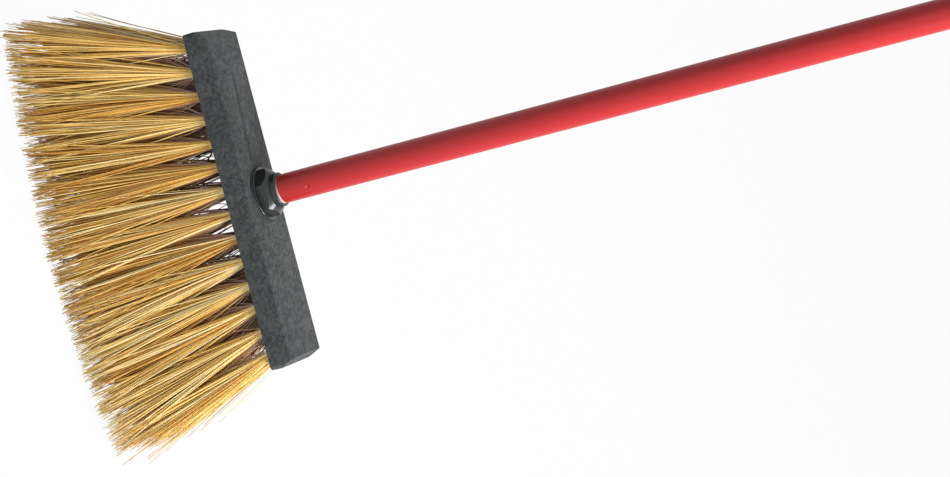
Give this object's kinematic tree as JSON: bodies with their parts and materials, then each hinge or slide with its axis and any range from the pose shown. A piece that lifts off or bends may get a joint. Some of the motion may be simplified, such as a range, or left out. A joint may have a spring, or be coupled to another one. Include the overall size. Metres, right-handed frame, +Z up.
{
  "type": "upright broom",
  "caption": "Upright warehouse broom: straw-coloured flared bristle tufts in a dark moulded block, with a red coated steel tube handle that screws into the block by a hexagonal collar.",
  "frame": {"origin": "on the floor under the handle's axis, with the broom standing on its bristle tips", "axes": "+Z up along the handle, X along the block, -Y to the front side that the picture shows"},
  "size_m": [0.3524, 0.0868, 1.4546],
  "materials": {
    "block_plastic": "matte dark grey structural-foam plastic with a mottled, lightly swirled skin",
    "bristle": "straw-coloured stiff bristle, lightly wavy",
    "anchor_wire": "bright flat staple wire",
    "washer_plastic": "black plastic, satin",
    "collar_plastic": "black moulded plastic, semi-gloss",
    "red_coating": "red plastic-coated steel, satin",
    "cap_plastic": "black moulded plastic, semi-gloss"
  },
  "bodies": {
    "head": {"block": "block_plastic", "tuft_anchors": "anchor_wire", "front_tuft_01": "bristle", "front_tuft_02": "bristle", "front_tuft_03": "bristle", "front_tuft_04": "bristle", "front_tuft_05": "bristle", "front_tuft_06": "bristle", "front_tuft_07": "bristle", "front_tuft_08": "bristle", "front_tuft_09": "bristle", "front_tuft_10": "bristle", "front_tuft_11": "bristle", "front_tuft_12": "bristle", "front_tuft_13": "bristle", "front_tuft_14": "bristle", "middle_tuft_01": "bristle", "middle_tuft_02": "bristle", "middle_tuft_03": "bristle", "middle_tuft_04": "bristle", "middle_tuft_05": "bristle", "middle_tuft_06": "bristle", "rear_tuft_01": "bristle", "rear_tuft_02": "bristle", "rear_tuft_03": "bristle", "rear_tuft_04": "bristle", "rear_tuft_05": "bristle", "rear_tuft_06": "bristle", "rear_tuft_07": "bristle", "rear_tuft_08": "bristle", "rear_tuft_09": "bristle", "rear_tuft_10": "bristle", "rear_tuft_11": "bristle", "rear_tuft_12": "bristle", "rear_tuft_13": "bristle", "rear_tuft_14": "bristle"},
    "washer": {"collar_washer": "washer_plastic"},
    "handle": {"threaded_collar": "collar_plastic", "handle_tube": "red_coating", "hang_cap": "cap_plastic"}
  },
  "joints": [
    {"name": "handle_lift", "type": "slide", "parent": "head", "child": "washer", "axis": [0, 0, 1], "range_m": [0, 0.0152]},
    {"name": "handle_turn", "type": "hinge", "parent": "washer", "child": "handle", "pos_m": [0, 0, 0.1907], "axis": [0, 0, 1], "range_deg": [0, 1080]}
  ],
  "couplings": [
    {"joint": "handle_turn", "follows": "handle_lift", "rad_per_m": 1236.8}
  ]
}
